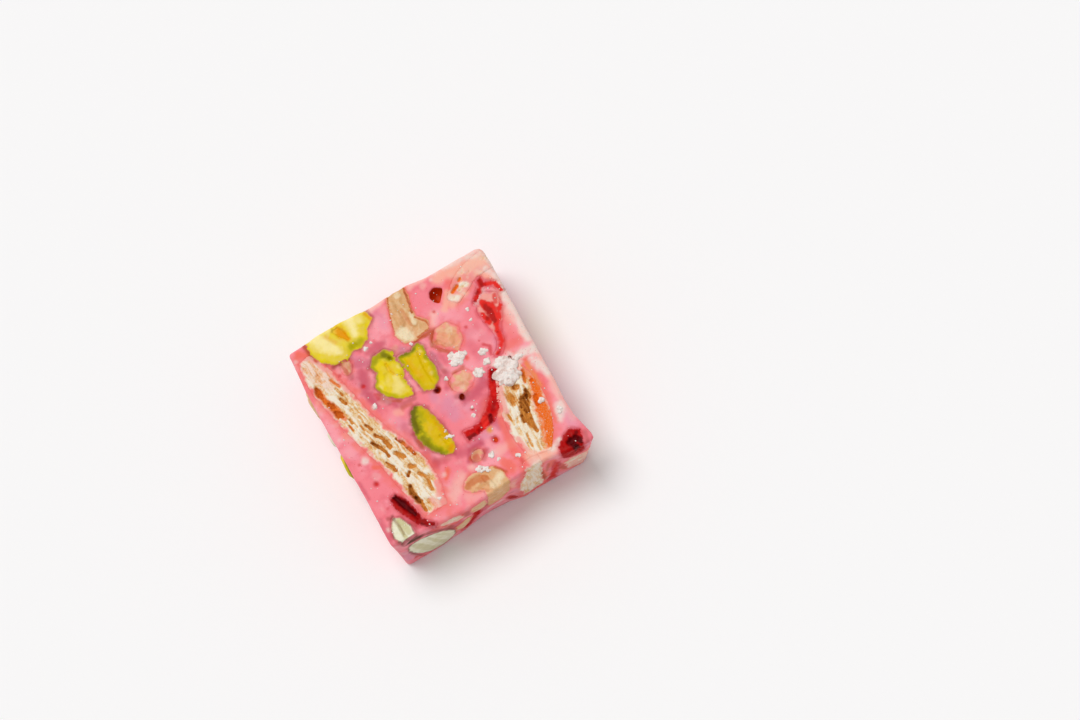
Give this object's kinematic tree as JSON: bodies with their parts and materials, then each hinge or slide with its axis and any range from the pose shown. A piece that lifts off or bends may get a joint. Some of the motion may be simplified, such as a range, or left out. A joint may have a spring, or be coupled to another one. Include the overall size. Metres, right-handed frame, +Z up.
{
  "type": "strawberry nougat",
  "caption": "Knife-cut square of pink nougat, set with nut halves, biscuit slabs and dried fruit slices that show on its faces.",
  "frame": {"origin": "middle of the underside, under the centre of the block's outer box", "axes": "+Z up through the thickness, -Y towards the front wall, +X towards the right wall"},
  "size_m": [0.0476, 0.0492, 0.0172],
  "materials": {
    "nougat": "soft pink nougat, satin, faintly dusty where milk powder lies on it",
    "milk": "dry off-white milk powder pressed into a lump",
    "biscuit": "cut flaky biscuit, matt and porous, browner along its crust",
    "pistachio": "cut pistachio, waxy yellow with a green rim",
    "walnut": "cut walnut, fine-grained tan with an orange-brown skin at its edges",
    "almond": "cut almond, cream with a thin brown skin",
    "strawberry": "dried strawberry, deep red, moist and slightly glossy"
  },
  "bodies": {
    "root": {"nougat": "nougat", "milk_clump": "milk", "biscuit_left": "biscuit", "biscuit_right": "biscuit", "biscuit_corner": "biscuit", "biscuit_front": "biscuit", "biscuit_lip": "biscuit", "biscuit_crumb": "biscuit", "biscuit_back": "biscuit", "pistachio_back": "pistachio", "pistachio_middle_left": "pistachio", "pistachio_middle_right": "pistachio", "pistachio_oblong": "pistachio", "pistachio_side": "pistachio", "pistachio_right": "pistachio", "pistachio_foot": "pistachio", "pistachio_under": "pistachio", "pistachio_under_half": "pistachio", "walnut_top": "walnut", "walnut_middle": "walnut", "walnut_small": "walnut", "walnut_front": "walnut", "walnut_speck_left": "walnut", "walnut_speck_front": "walnut", "walnut_band": "walnut", "walnut_sliver": "walnut", "walnut_left_back": "walnut", "walnut_left": "walnut", "walnut_back": "walnut", "walnut_right": "walnut", "walnut_under": "walnut", "walnut_under_bent": "walnut", "almond_front": "almond", "almond_top": "almond", "almond_side": "almond", "almond_back": "almond", "almond_under": "almond", "strawberry_slice": "strawberry", "strawberry_ribbon": "strawberry", "strawberry_smear": "strawberry", "strawberry_lip": "strawberry", "strawberry_slash": "strawberry", "strawberry_seam": "strawberry", "strawberry_front": "strawberry", "strawberry_foot": "strawberry", "strawberry_left": "strawberry", "strawberry_right": "strawberry", "strawberry_back": "strawberry", "strawberry_under": "strawberry", "strawberry_under_slice": "strawberry"}
  },
  "joints": []
}
